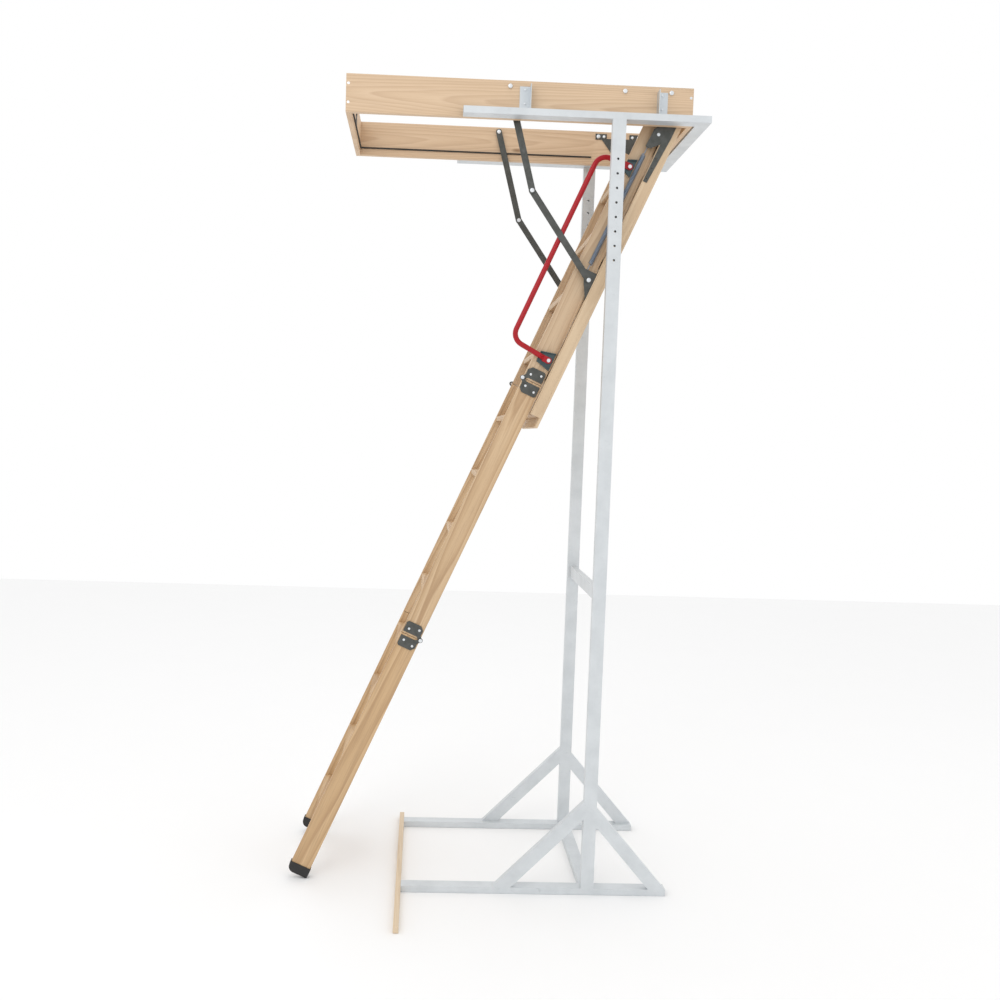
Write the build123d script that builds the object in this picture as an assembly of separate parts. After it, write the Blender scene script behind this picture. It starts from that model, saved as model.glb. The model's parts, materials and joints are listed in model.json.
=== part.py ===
from build123d import *
import math
import os

# Three-section folding attic ladder in its hatch box, open, on its display stand.
# Millimetres. X runs along the hatch towards its hinge, Y across it, Z up from the floor.
# The origin is on the floor, midway between the two posts.

# ---- hatch box
box_length = 1292.0
box_width = 580.0
box_height = 138.0
board = 20.0              # side boards
end_board = 18.0          # end boards, between the side boards
box_underside = 2945.0    # height of the ceiling line
post_from_front = 1010.0  # from the front end of the box to the posts

# ---- hatch leaf, in its own (along, up) frame: along runs from the pivot to the free end
open_angle = 66.3
pivot_from_end_board = 38.0
pivot_above_underside = 18.0
leaf_top = 20.0           # inner face above the pivot
cover_board = 10.0        # outer board, laps under the front of the box
cover_lap = 22.0
inner_board = 4.0
leaf_side_gap = 5.5       # leaf to side board, holds the hinge plates
leaf_end_gap = 3.0
swing_gap = 1.5
stile_width = 60.0
rail_width = 70.0

# ---- ladder
ladder_side_gap = 35.0    # stringer to side board, holds the arms, springs and handrail
stringer_width = 80.0
stringer_thickness = 22.0
ladder_standoff = 4.0     # stringers clear of the leaf
hinge_proud = 2.0         # section pivots stand clear of the stringer edge
section_gap = 1.0         # each stringer end back from the pivot line
upper_top = 20.0
upper_pivot = 1102.0      # along the leaf
middle_length = 1091.0    # pivot to pivot
tread_depth = 80.0
tread_thickness = 20.0
tread_housing = 6.0
tread_spacing = 250.0
first_tread_upper = 232.0
first_tread_middle = 150.0   # below the upper pivot
first_tread_lower = 47.0     # below the lower pivot
foot_wall = 3.0
foot_height = 34.0
foot_sole = 5.0
foot_round = 26.0

# ---- section hinge plates
plate = 3.0
plate_length = 44.0
plate_from_pivot = 8.0
plate_clip = 14.0
ear_radius = 9.0
pin_radius = 4.0
running_gap = 0.05
layer_gap = 0.5

# ---- folding arms
arm_thickness = 3.0
arm_width = 25.0
arm_pivot_x = 630.0       # from the hatch pivot, towards the front
arm_pivot_z = 117.0       # above the underside
knee_x = 532.0            # from the hatch pivot
knee_z = -250.0           # above the underside
ear_along = 665.0
ear_up = 40.0
rivet_head_radius = 8.0
pivot_bolt_radius = 5.0
hinge_leaf_length = 246.0
hinge_leaf_width = 16.0
bolt_head = 5.0

# ---- springs and handrail
spring_radius = 9.0
spring_wire = 2.4
spring_top = (114.0, 56.0)
spring_bottom = (643.0, 60.0)
spring_hook = 38.0
handrail_diameter = 20.0
handrail_out = 208.0      # axis above the leaf pivot
handrail_low = 1002.0
handrail_high = 213.0
handrail_bend = 46.0
handrail_low_seat = 44.0    # bolts above the leaf pivot
handrail_high_seat = 84.0
handrail_neck = 50.0      # pressed part above each bolt
handrail_tongue = 5.0
handrail_bolt_depth = 14.0

# ---- display stand
tube_wide = 50.0
tube_deep = 25.0
tube_wall = 2.0
head_rail_front = 434.0   # from the front of the box
head_rail_back = 1351.0
base_front = 286.0
base_back = 1317.0
mid_tube_z = 1175.0
front_brace = (345.0, 345.0)   # rise and reach
rear_brace = (322.0, 280.0)
post_hole_first = 143.0
post_hole_pitch = 52.7
post_holes = 8
post_hole_radius = 4.5
angle_leg = 40.0
angle_wall = 3.0
angle_height = 92.0
angle_front = (642.0, 1155.0)
lath_width = 20.0
lath_height = 24.0
lath_near = 655.0
lath_far = 400.0

# ---- small parts
bracket_bolt_z = 117.0    # above the underside
bracket_tab = 12.0
seal_proud = 5.0
seal_groove = 4.0
seal_height = 5.0
seal_z = 27.0
screw_head_radius = 5.0
screw_head = 1.8
screw_shank = 2.0
screw_length = 14.0
latch_travel = 12.0
latch_reach = 5.0
latch_up = 9.0

# ---- places worked out from the sizes above
front = -post_from_front
back = front + box_length
inner_half = box_width / 2 - board
pivot_x = back - end_board - pivot_from_end_board
pivot_z = box_underside + pivot_above_underside
leaf_half = inner_half - leaf_side_gap
leaf_under = -pivot_above_underside
cover_under = leaf_under - cover_board
hinge_end = -math.sqrt((pivot_from_end_board - swing_gap) ** 2 - max(leaf_top, -cover_under) ** 2)
free_end = pivot_x - (front + end_board) - leaf_end_gap
lean = math.radians(open_angle)
cos_lean, sin_lean = math.cos(lean), math.sin(lean)
leaf_frame = Plane(origin=(pivot_x, 0, pivot_z), x_dir=(-cos_lean, 0, -sin_lean),
                   z_dir=(-sin_lean, 0, cos_lean))

stringer_back = leaf_top + ladder_standoff
stringer_front = stringer_back + stringer_width
stringer_middle = (stringer_back + stringer_front) / 2
outer_half = inner_half - ladder_side_gap
inner_ladder_half = outer_half - stringer_thickness
front_pivot = stringer_front + hinge_proud
back_pivot = stringer_back - hinge_proud
lower_pivot = upper_pivot + middle_length
sole_back = stringer_back - foot_wall
floor_along = (pivot_z + sole_back * cos_lean) / sin_lean
lower_end = floor_along - foot_sole
plate_out = outer_half + plate
ear_in = plate_out + 0.2
ear_out = ear_in + plate

# layers across the gap between ladder and side board, from the ladder outwards
rail_axis_y = outer_half + 1.0 + handrail_diameter / 2
lower_arm_in = outer_half + 1.0 + handrail_diameter + 0.6
lower_arm_out = lower_arm_in + arm_thickness
upper_arm_in = lower_arm_out + layer_gap
upper_arm_out = upper_arm_in + arm_thickness
spring_y = outer_half + 1.5 + spring_radius
hinge_leaf_out = leaf_half + 2.0
bracket_in = inner_half - plate
arm_pivot = (pivot_x - arm_pivot_x, box_underside + arm_pivot_z)
knee = (pivot_x - knee_x, box_underside + knee_z)


def block(x0, x1, y0, y1, z0, z1):
    """A box from its two corners."""
    centre = Pos((x0 + x1) / 2, (y0 + y1) / 2, (z0 + z1) / 2)
    return centre * Box(x1 - x0, y1 - y0, z1 - z0)


def rod(x, z, y0, y1, radius):
    """A cylinder along Y."""
    return Pos(x, (y0 + y1) / 2, z) * Rot(90, 0, 0) * Cylinder(radius, abs(y1 - y0))


def slab(points, y0, y1):
    """A flat plate with its outline in X and Z, from y0 to y1."""
    outline = make_face(Polyline(*[(x, 0, z) for x, z in points], close=True))
    return Pos(0, y0, 0) * extrude(outline, amount=y1 - y0, dir=(0, 1, 0))


def both_sides(solid):
    """The solid and its mirror image across the middle of the hatch."""
    return Compound(children=[solid, mirror(solid, about=Plane.XZ)])


def on_leaf(solid):
    """Moves a solid from the leaf's (along, across, up) frame to its open place."""
    return leaf_frame.location * solid


def group(*solids):
    """Several separate solids in one node."""
    flat = [one for solid in solids for one in solid.solids()]
    return Compound(children=flat)


def from_leaf(along, up):
    """A point of the leaf's (along, up) frame in X and Z."""
    return (pivot_x - along * cos_lean - up * sin_lean,
            pivot_z - along * sin_lean + up * cos_lean)


# ---------------------------------------------------------------- hatch box
def box_parts():
    low, high = box_underside, box_underside + box_height
    side = block(front, back, inner_half, box_width / 2, low, high)
    groove_x = front + end_board - seal_groove
    seal_back = pivot_x - 230.0
    side_seal = block(groove_x, seal_back, inner_half - seal_proud, inner_half + seal_groove,
                      low + seal_z, low + seal_z + seal_height)
    end_seal = block(groove_x, front + end_board + seal_proud, -inner_half + seal_proud,
                     inner_half - seal_proud, low + seal_z, low + seal_z + seal_height)
    bolts_x = [arm_pivot[0]] + [x for x, through in bracket_bolts_x() if through]
    side -= side_seal
    for x in bolts_x:
        z = arm_pivot[1]
        side -= rod(x, z, inner_half - 1, box_width / 2 + 1, pivot_bolt_radius)
    front_end = block(front, front + end_board, -inner_half, inner_half, low, high)
    front_end -= group(both_sides(side_seal), end_seal)
    front_end -= striker_pocket()
    hinge_side = block(back - end_board, back, -inner_half, inner_half, low, high)
    screws = [box_screw(x, z) for x in (front + end_board / 2, back - end_board / 2)
              for z in (low + 35.0, low + box_height - 35.0)]
    for x in (front + end_board / 2, back - end_board / 2):
        for z in (low + 35.0, low + box_height - 35.0):
            hole = rod(x, z, inner_half - 30, box_width / 2 + 1, screw_shank)
            side -= hole
            side -= rod(x, z, box_width / 2 - screw_head, box_width / 2 + 1, screw_head_radius)
            end_hole = group(hole, mirror(hole, about=Plane.XZ))
            if x < 0:
                front_end -= end_hole
            else:
                hinge_side -= end_hole
    return {
        "box_side_near": mirror(side, about=Plane.XZ),
        "box_side_far": side,
        "box_end_front": front_end,
        "box_end_hinge": hinge_side,
        "box_seal": group(both_sides(side_seal), end_seal),
        "box_screws": group(*[both_sides(screw) for screw in screws]),
    }


def box_screw(x, z):
    """A countersunk screw through the side board into the end board."""
    head = rod(x, z, box_width / 2 - screw_head, box_width / 2, screw_head_radius)
    return head + rod(x, z, inner_half - 30, box_width / 2 - screw_head, screw_shank)


def striker_pocket():
    x = front + end_board
    z = box_underside + pivot_above_underside + leaf_top + latch_up
    return block(x - 12.0, x + 1, -9.0, 9.0, z - 6.0, z + 6.0)


def striker_part():
    x = front + end_board
    z = box_underside + pivot_above_underside + leaf_top + latch_up
    body = block(x, x + 2.0, -22.0, 22.0, z - 6.0 - 9.0, z + 6.0 + 30.0)
    return body - striker_pocket()


# ---------------------------------------------------------------- hatch hinges
def bracket_bolts_x():
    """Bolts of the fixed bracket: place along X, and whether it goes through the board."""
    return [(pivot_x - 202, True), (pivot_x - 178, False),
            (pivot_x - 56, False), (pivot_x - 28, True)]


def hinge_bracket():
    low, tab_z = box_underside, box_underside + bracket_bolt_z
    tab_top, tab_low = tab_z + bracket_tab, tab_z - bracket_tab
    left, right = pivot_x - 214, pivot_x - 16
    outline = [(left, tab_top), (left + 48, tab_top), (left + 48, tab_low + 4),
               (right - 52, tab_low + 4), (right - 52, tab_top), (right, tab_top),
               (right, tab_low), (pivot_x + 9, pivot_z + 10), (pivot_x - 6, pivot_z - 10),
               (left + 82, low + 34), (left + 28, tab_low), (left, tab_low)]
    body = slab(outline, bracket_in, inner_half)
    body += rod(pivot_x, pivot_z, bracket_in, inner_half, 14.0)
    body -= rod(pivot_x, pivot_z, bracket_in - 1, inner_half + 1, pivot_bolt_radius)
    for x, through in bracket_bolts_x():
        radius = pivot_bolt_radius if through else screw_shank
        body -= rod(x, tab_z, bracket_in - 1, inner_half + 1, radius)
    return both_sides(body)


def hinge_pin():
    """Pin fixed in the bracket; the leaf's plate turns on it."""
    return both_sides(rod(pivot_x, pivot_z, leaf_half + 0.1, inner_half, pivot_bolt_radius))


def bracket_bolts():
    z = box_underside + bracket_bolt_z
    solids = []
    for x, through in bracket_bolts_x():
        if through:
            bolt = rod(x, z, bracket_in, box_width / 2, pivot_bolt_radius)
            bolt += rod(x, z, box_width / 2, box_width / 2 + bolt_head, rivet_head_radius)
            bolt += rod(x, z, bracket_in - screw_head, bracket_in, rivet_head_radius)
        else:
            bolt = rod(x, z, bracket_in, inner_half, screw_shank)
            bolt += rod(x, z, bracket_in - screw_head, bracket_in, screw_head_radius + 1)
        solids.append(both_sides(bolt))
    return group(*solids)


def hinge_leaf():
    """Plate on the edge of the hatch leaf; it carries the upper end of the spring."""
    side_y0, side_y1 = leaf_half, hinge_leaf_out
    along, up = spring_top
    end, edge = hinge_leaf_length, leaf_top - 2
    outline = [(-9, -9), (-9, 9), (24, 46), (56, 64), (along + 12, up + 10), (along + 12, up - 10),
               (along - 18, edge), (end, edge), (end, edge - hinge_leaf_width), (60, -9)]
    body = slab(outline, side_y0, side_y1)
    body += rod(0, 0, side_y0, side_y1, 13.0)
    stud = rod(along, up, spring_y - 4, side_y0, 3.5)
    body += stud + rod(along, up, spring_y - 6, spring_y - 4, 6.0)
    body -= rod(0, 0, side_y0 - 1, side_y1 + 1, pivot_bolt_radius + running_gap)
    for place in leaf_screw_places():
        body -= rod(place[0], place[1], side_y0 - 1, side_y1 + 1, screw_shank)
    return group(on_leaf(both_sides(body)))


def leaf_screw_places():
    middle = leaf_top - 2 - hinge_leaf_width / 2
    return [(hinge_leaf_length - back, middle) for back in (96, 55, 14)]


def leaf_screws():
    """Screws of the leaf plates, and the pale cap bolt above the pivot."""
    solids = []
    for along, up in leaf_screw_places():
        screw = rod(along, up, leaf_half - screw_length, leaf_half, screw_shank)
        screw += rod(along, up, leaf_half, hinge_leaf_out, screw_shank)
        solids.append(screw)
    cap = rod(67, 40, leaf_half - 4.0, leaf_half, 6.0)
    solids.append(cap)
    return group(on_leaf(group(*[both_sides(one) for one in solids])))


# ---------------------------------------------------------------- hatch leaf
def leaf_parts():
    half = leaf_half
    frame_low, frame_top = leaf_under, leaf_top - inner_board
    cover = block(hinge_end, free_end + cover_lap + end_board, -half, half, cover_under, leaf_under)
    stile = block(hinge_end, free_end, half - stile_width, half, frame_low, frame_top)
    for along, up in leaf_screw_places():
        stile -= rod(along, up, half - screw_length, half + 1, screw_shank)
    inner = half - stile_width
    starts = [hinge_end, (hinge_end + free_end - rail_width) / 2, free_end - rail_width]
    rails = [block(start, start + rail_width, -inner, inner, frame_low, frame_top) for start in starts]
    lining = block(hinge_end, free_end, -half, half, frame_top, leaf_top)
    return {
        "hatch_cover_board": on_leaf(cover),
        "hatch_stiles": on_leaf(both_sides(stile)),
        "hatch_cross_rails": on_leaf(group(*rails)),
        "hatch_lining": on_leaf(lining),
    }


def stringer_clamps():
    """Angles that hold the upper stringers to the leaf, on their inner faces."""
    solids = []
    for along in (85.0, 560.0, 1035.0):
        y1 = inner_ladder_half
        body = block(along, along + 40, y1 - plate, y1, leaf_top, stringer_back + 50)
        body += block(along, along + 40, y1 - 36, y1, leaf_top, leaf_top + plate)
        solids.append(both_sides(body))
    return on_leaf(group(*solids))


def arm_ear():
    """Upright lug on the leaf for the lower arm and the lower end of the spring."""
    y1 = lower_arm_in - 0.6
    y0 = y1 - plate
    along, up = ear_along, ear_up
    hook_along, hook_up = spring_bottom
    outline = [(along - 34, leaf_top), (along + 72, leaf_top), (along + 18, up + 12), (hook_along + 4, hook_up + 9),
               (hook_along - 12, hook_up + 6)]
    body = slab(outline, y0, y1)
    body += block(along - 34, along + 72, outer_half + 2, y1, leaf_top, leaf_top + plate)
    stud = rod(hook_along, hook_up, spring_y - 4, y0, 3.5)
    body += stud + rod(hook_along, hook_up, spring_y - 6, spring_y - 4, 6.0)
    body -= rod(along, up, y0 - 1, y1 + 1, pin_radius)
    return on_leaf(both_sides(body))


def ear_pins():
    y0 = lower_arm_in - 0.6 - plate
    pin = rod(ear_along, ear_up, y0, lower_arm_out + 0.2, pin_radius)
    pin += rod(ear_along, ear_up, lower_arm_out + 0.2, lower_arm_out + 2.0, rivet_head_radius)
    pin += rod(ear_along, ear_up, y0 - 1.5, y0, rivet_head_radius - 2)
    return on_leaf(both_sides(pin))


# ---------------------------------------------------------------- ladder sections
def tread_places(first, end):
    """Evenly spaced treads that stop at least half a tread short of the end."""
    count = int((end - first - tread_depth / 2) // tread_spacing) + 1
    return [first + tread_spacing * step for step in range(count)]


def tread(along, half):
    """A tread across the ladder, level when the hatch is open."""
    x, z = from_leaf(along, stringer_middle)
    return block(x - tread_depth / 2, x + tread_depth / 2, -half, half,
                 z - tread_thickness / 2, z + tread_thickness / 2)


def stringer(start, end, places):
    """One side board of a section, with a housing cut for each tread."""
    body = on_leaf(block(start, end, inner_ladder_half, outer_half, stringer_back, stringer_front))
    half = inner_ladder_half + tread_housing
    for along in places:
        body -= tread(along, half)
    return body


def section(name, start, end, first):
    places = tread_places(first, end)
    near = stringer(start, end, places)
    half = inner_ladder_half + tread_housing
    return {
        name + "_stringer_near": near,
        name + "_stringer_far": mirror(near, about=Plane.XZ),
        name + "_treads": group(*[tread(along, half) for along in places]),
    }


def foot():
    """Moulded cap on a stringer end, rounded towards the front."""
    y0, y1 = inner_ladder_half - foot_wall, outer_half + foot_wall
    body = block(lower_end - foot_height, lower_end + foot_sole, y0, y1,
                 stringer_back - foot_wall, stringer_front + foot_wall)
    corner = body.edges().filter_by(Axis.Y).sort_by(lambda edge: edge.center().X + edge.center().Z)[-1]
    body = fillet(corner, foot_round)
    clip = block(lower_end - foot_height - 1, lower_end, inner_ladder_half, outer_half,
                 stringer_back, stringer_front)
    toe = clip.edges().filter_by(Axis.Y).sort_by(lambda edge: edge.center().X + edge.center().Z)[-1]
    clip = fillet(toe, foot_round - foot_wall)
    return body, clip


def feet_parts(parts):
    """Fits the caps and rounds the stringer toes inside them."""
    body, clip = foot()
    cap = on_leaf(both_sides(body - clip))
    zone = block(lower_end - foot_height, lower_end + 1, -outer_half - 1, outer_half + 1,
                 stringer_back - 1, stringer_front + 1)
    keep = on_leaf(both_sides(clip))
    for side in ("near", "far"):
        node = "lower_stringer_" + side
        toe = parts[node] & on_leaf(zone)
        parts[node] = (parts[node] - on_leaf(zone)) + (toe & keep)
    parts["foot_caps"] = cap


# ---------------------------------------------------------------- section hinges
def hinge_outline(pivot, direction, pivot_up):
    """Plate outline: clipped corners away from the pivot line."""
    near = pivot + direction * plate_from_pivot
    far = pivot + direction * (plate_from_pivot + plate_length)
    inset = 4.0
    low, high = stringer_back + inset, stringer_front - inset
    clip = direction * plate_clip
    if pivot_up > stringer_middle:
        return [(near, high), (near, low), (far - clip / 2, low), (far, low + plate_clip / 2),
                (far, high - plate_clip), (far - clip, high)]
    return [(near, high), (near, low), (far - clip, low), (far, low + plate_clip),
            (far, high - plate_clip / 2), (far - clip / 2, high)]


def plate_screw_places(pivot, direction):
    along = pivot + direction * (plate_from_pivot + plate_length * 0.5)
    return [(along - direction * 6, stringer_front - 22), (along + direction * 4, stringer_back + 18)]


def hinge_plate(pivot, direction, pivot_up, raised):
    """One half of a section hinge; the raised half has its ear on the next layer out."""
    side = -1 if pivot_up > stringer_middle else 1
    r = ear_radius
    strap = [(pivot, pivot_up - side * r), (pivot + direction * 16, pivot_up + side * 6),
             (pivot + direction * 16, pivot_up + side * 22), (pivot + direction * 9, pivot_up + side * 22),
             (pivot, pivot_up + side * r)]
    y0, y1 = (ear_in, ear_out) if raised else (outer_half + 0.2, plate_out)
    body = slab(hinge_outline(pivot, direction, pivot_up), outer_half, plate_out)
    body += slab(strap, y0, y1) + rod(pivot, pivot_up, y0, y1, r)
    if raised:
        pad = [(pivot + direction * a, pivot_up + side * b) for a, b in ((10, 8), (16, 8), (16, 22), (10, 22))]
        body += slab(pad, plate_out - 1, ear_in + 1)
    hole = pin_radius + running_gap if raised else pin_radius
    body -= rod(pivot, pivot_up, outer_half - 1, ear_out + 1, hole)
    for along, up in plate_screw_places(pivot, direction):
        body -= rod(along, up, outer_half - 1, plate_out + 1, screw_shank)
    return on_leaf(both_sides(body))


def hinge_pins(pivot, pivot_up):
    pin = rod(pivot, pivot_up, outer_half + 0.2, ear_out, pin_radius)
    pin += rod(pivot, pivot_up, ear_out, ear_out + screw_head, pin_radius + 3)
    return on_leaf(both_sides(pin))


def surface_screw(along, up, seat):
    """A raised-head screw in the outer face of a stringer; seat is what it clamps."""
    shank = rod(along, up, outer_half - screw_length, seat, screw_shank)
    return shank + rod(along, up, seat, seat + screw_head, screw_head_radius)


def plate_screws(pivots):
    screws = [surface_screw(along, up, plate_out)
              for pivot, direction in pivots for along, up in plate_screw_places(pivot, direction)]
    return on_leaf(group(*[both_sides(one) for one in screws]))


def drill_stringers(parts, name, pivots):
    """Pilot holes for the hinge screws."""
    holes = group(*[both_sides(rod(along, up, outer_half - screw_length, outer_half + 1, screw_shank))
                    for pivot, direction in pivots for along, up in plate_screw_places(pivot, direction)])
    for side in ("near", "far"):
        node = name + "_stringer_" + side
        parts[node] = parts[node] - on_leaf(holes)


# ---------------------------------------------------------------- handrail
def handrail_bolt_places():
    """Each bolt, and the low and high edge of its bracket."""
    return [(handrail_low, handrail_low_seat, handrail_low_seat - 17, handrail_low_seat + 42),
            (handrail_high, handrail_high_seat, handrail_high_seat - 16, handrail_high_seat + 18)]


def handrail():
    """Round tube with pressed, bolted ends, on the near stringer of the upper section."""
    low, high = handrail_bolt_places()
    points = [(low[0] - 1, low[1] + 14), (low[0] - 14, handrail_out),
              (high[0] + 8, handrail_out), (high[0] + 1, high[1] + 14)]
    path = FilletPolyline(*[(x, rail_axis_y, z) for x, z in points], radius=handrail_bend)
    body = sweep(Plane(origin=path @ 0, z_dir=path % 0) * Circle(handrail_diameter / 2), path=path)
    tongue_out = plate_out + handrail_tongue
    wide, clear = 12.0, handrail_diameter
    for along, up, _, _ in (low, high):
        pressed = make_face(Polyline((tongue_out, up - clear), (tongue_out, up + 22),
                                     (tongue_out + clear, up + handrail_neck),
                                     (tongue_out + clear, up - clear), close=True))
        body -= Pos(along - clear, 0, 0) * extrude(Plane.YZ * pressed, 2 * clear)
        body -= block(along - clear, along + clear, outer_half, plate_out, up - clear, up + 46)
        body += block(along - wide, along + wide, plate_out, tongue_out, up, up + 24)
        body += rod(along, up, plate_out, tongue_out, wide)
        body -= rod(along, up, plate_out - 1, tongue_out + 1, pin_radius)
    return on_leaf(body)


def handrail_brackets():
    """Pressed trapezoid seats with a raised flange on each slanted edge."""
    solids = []
    for along, up, low, high in handrail_bolt_places():
        foot_half, top_half, rim = 36.0, 21.0, 3.5
        outline = [(along - foot_half, low), (along + foot_half, low),
                   (along + top_half, high), (along - top_half, high)]
        body = slab(outline, outer_half, plate_out)
        for sign in (-1, 1):
            edge = [(along + sign * foot_half, low), (along + sign * (foot_half - rim), low),
                    (along + sign * (top_half - rim), high), (along + sign * top_half, high)]
            body += slab(edge, outer_half, plate_out + 7)
        body -= rod(along, up, outer_half - 1, plate_out + 1, pin_radius)
        solids.append(body)
    return on_leaf(group(*solids))


def handrail_bolts():
    solids = []
    for along, up, _, _ in handrail_bolt_places():
        top = plate_out + handrail_tongue
        bolt = rod(along, up, outer_half - handrail_bolt_depth, top, pin_radius)
        bolt += rod(along, up, top, top + 4, 7.0)
        solids.append(bolt)
    return on_leaf(group(*solids))


def drill_for_handrail(parts):
    holes = group(*[rod(along, up, outer_half - handrail_bolt_depth, outer_half + 1, pin_radius)
                    for along, up, _, _ in handrail_bolt_places()])
    parts["upper_stringer_near"] = parts["upper_stringer_near"] - on_leaf(holes)


# ---------------------------------------------------------------- springs and arms
def spring():
    """The coil as a closed cylinder, with a straight hook and eye at each end."""
    (a0, u0), (a1, u1) = spring_top, spring_bottom
    length = math.hypot(a1 - a0, u1 - u0)
    da, du = (a1 - a0) / length, (u1 - u0) / length
    place = Plane(origin=(a0, spring_y, u0), x_dir=(0, 1, 0), z_dir=(da, 0, du))
    eye = 5.4
    coil = Pos(0, 0, length / 2) * Cylinder(spring_radius, length - 2 * spring_hook)
    wire = spring_wire / 2
    hooks = [Pos(0, 0, (eye + spring_hook + 2) / 2) * Cylinder(wire, spring_hook + 2 - eye),
             Pos(0, 0, length - (eye + spring_hook + 2) / 2) * Cylinder(wire, spring_hook + 2 - eye),
             Rot(0, 90, 0) * Torus(eye, wire), Pos(0, 0, length) * Rot(0, 90, 0) * Torus(eye, wire)]
    body = coil
    for hook in hooks:
        body += hook
    return place.location * body


def flat_bar(p0, p1, y0, y1, holes):
    """A round-ended flat bar between two pivots, with its two hole radii."""
    dx, dz = p1[0] - p0[0], p1[1] - p0[1]
    length = math.hypot(dx, dz)
    nx, nz = -dz / length * arm_width / 2, dx / length * arm_width / 2
    outline = [(p0[0] + nx, p0[1] + nz), (p1[0] + nx, p1[1] + nz),
               (p1[0] - nx, p1[1] - nz), (p0[0] - nx, p0[1] - nz)]
    body = slab(outline, y0, y1)
    for point, hole in zip((p0, p1), holes):
        body += rod(point[0], point[1], y0, y1, arm_width / 2)
    for point, hole in zip((p0, p1), holes):
        body -= rod(point[0], point[1], y0 - 1, y1 + 1, hole)
    return body


def arm_parts():
    ear_point = from_leaf(ear_along, ear_up)
    upper = flat_bar(arm_pivot, knee, upper_arm_in, upper_arm_out, (pivot_bolt_radius + running_gap, pin_radius))
    lower = flat_bar(ear_point, knee, lower_arm_in, lower_arm_out, (pin_radius + running_gap, pin_radius))
    outer = rod(*knee, upper_arm_in, upper_arm_out, pin_radius)
    outer += rod(*knee, upper_arm_out, upper_arm_out + 1.2, rivet_head_radius)
    inner = rod(*knee, lower_arm_in, lower_arm_out, pin_radius)
    inner += rod(*knee, lower_arm_in - 1.8, lower_arm_in, rivet_head_radius)
    bolt = rod(*arm_pivot, upper_arm_in - 0.2, box_width / 2, pivot_bolt_radius)
    bolt += rod(*arm_pivot, upper_arm_out + 0.2, inner_half, 9.0)
    bolt += rod(*arm_pivot, upper_arm_in - 3.2, upper_arm_in - 0.2, rivet_head_radius)
    bolt += rod(*arm_pivot, box_width / 2, box_width / 2 + bolt_head, rivet_head_radius)
    return {
        "upper_arms": both_sides(upper),
        "lower_arms": both_sides(lower),
        "knee_rivets_outer": both_sides(outer),
        "knee_rivets_inner": both_sides(inner),
        "arm_pivot_bolts": both_sides(bolt),
    }


# ---------------------------------------------------------------- latch
def latch_parts():
    """Sliding bolt in a cover on the inner face of the leaf's free end."""
    end = free_end - 14.0
    middle = leaf_top + latch_up
    cover = block(end - 70, end, -24, 24, leaf_top, leaf_top + 16)
    tunnel = block(end - 71, end + 1, -8.4, 8.4, middle - 5.4, middle + 5.4)
    slot = block(end - 50, end - 50 + 10 + latch_travel + 8, -4.4, 4.4, middle, leaf_top + 17)
    tongue = block(end - 55, free_end + leaf_end_gap + latch_reach, -8.0, 8.0, middle - 5, middle + 5)
    knob = Pos(end - 30, 0, middle + 8) * Cylinder(4.0, 12)
    return {
        "latch_cover": on_leaf(cover - tunnel - slot),
        "latch_bolt": on_leaf(tongue + knob),
    }


# ---------------------------------------------------------------- display stand
def tube_x(x0, x1, y0, y1, z0, z1):
    w = tube_wall
    return block(x0, x1, y0, y1, z0, z1) - block(x0 - 1, x1 + 1, y0 + w, y1 - w, z0 + w, z1 - w)


def tube_y(x0, x1, y0, y1, z0, z1):
    w = tube_wall
    return block(x0, x1, y0, y1, z0, z1) - block(x0 + w, x1 - w, y0 - 1, y1 + 1, z0 + w, z1 - w)


def tube_z(x0, x1, y0, y1, z0, z1):
    w = tube_wall
    return block(x0, x1, y0, y1, z0, z1) - block(x0 + w, x1 - w, y0 + w, y1 - w, z0 - 1, z1 + 1)


def brace(sign, rise, reach):
    """A diagonal tube between a post and the base rail, mitred to both."""
    x0 = sign * tube_wide / 2
    slope = math.hypot(rise, reach)
    up_cut, along_cut = tube_wide * slope / reach, tube_wide * slope / rise
    up_wall, along_wall = tube_wall * slope / reach, tube_wall * slope / rise
    over = 1.0
    drop = over * rise / reach
    side = over * reach / rise
    outer_y = box_width / 2 + tube_wide
    top = tube_deep + rise
    shell = [(x0, top), (x0, top - up_cut),
             (x0 + sign * (reach - along_cut), tube_deep), (x0 + sign * reach, tube_deep)]
    bore = [(x0 - sign * over, top - up_wall + drop), (x0 - sign * over, top - up_cut + up_wall + drop),
            (x0 + sign * (reach - along_cut + along_wall + side), tube_deep - over),
            (x0 + sign * (reach - along_wall + side), tube_deep - over)]
    body = slab(shell, outer_y - tube_deep, outer_y)
    return body - slab(bore, outer_y - tube_deep + tube_wall, outer_y - tube_wall)


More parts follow.
